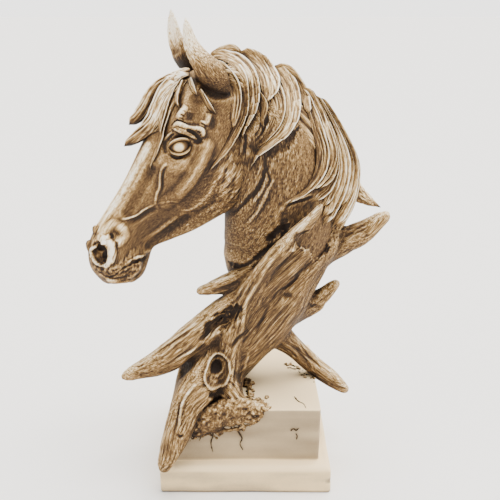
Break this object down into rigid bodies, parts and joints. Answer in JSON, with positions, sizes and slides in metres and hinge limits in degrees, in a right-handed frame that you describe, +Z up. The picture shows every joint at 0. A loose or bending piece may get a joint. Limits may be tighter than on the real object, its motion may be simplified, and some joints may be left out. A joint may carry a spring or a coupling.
{
  "type": "horse head sculpture",
  "caption": "Cast resin horse head and flowing mane rising out of weathered driftwood, standing on a stepped rectangular plinth.",
  "frame": {"origin": "centre of the plinth's underside", "axes": "+Z up, -Y out of the plinth's front face towards the viewer, +X to the viewer's right; the horse looks towards -X, turned 20 degrees towards -Y"},
  "size_m": [0.2551, 0.151, 0.4011],
  "materials": {
    "antiqued_resin": "cast polyresin with a brown wash in its hollows and a dry-brushed cream on its ridges, satin",
    "painted_plinth": "cast polyresin painted cream, greyer on its front, with hairline cracks, eggshell"
  },
  "bodies": {
    "root": {"horse_head_on_driftwood": "antiqued_resin", "plinth": "painted_plinth"}
  },
  "joints": []
}
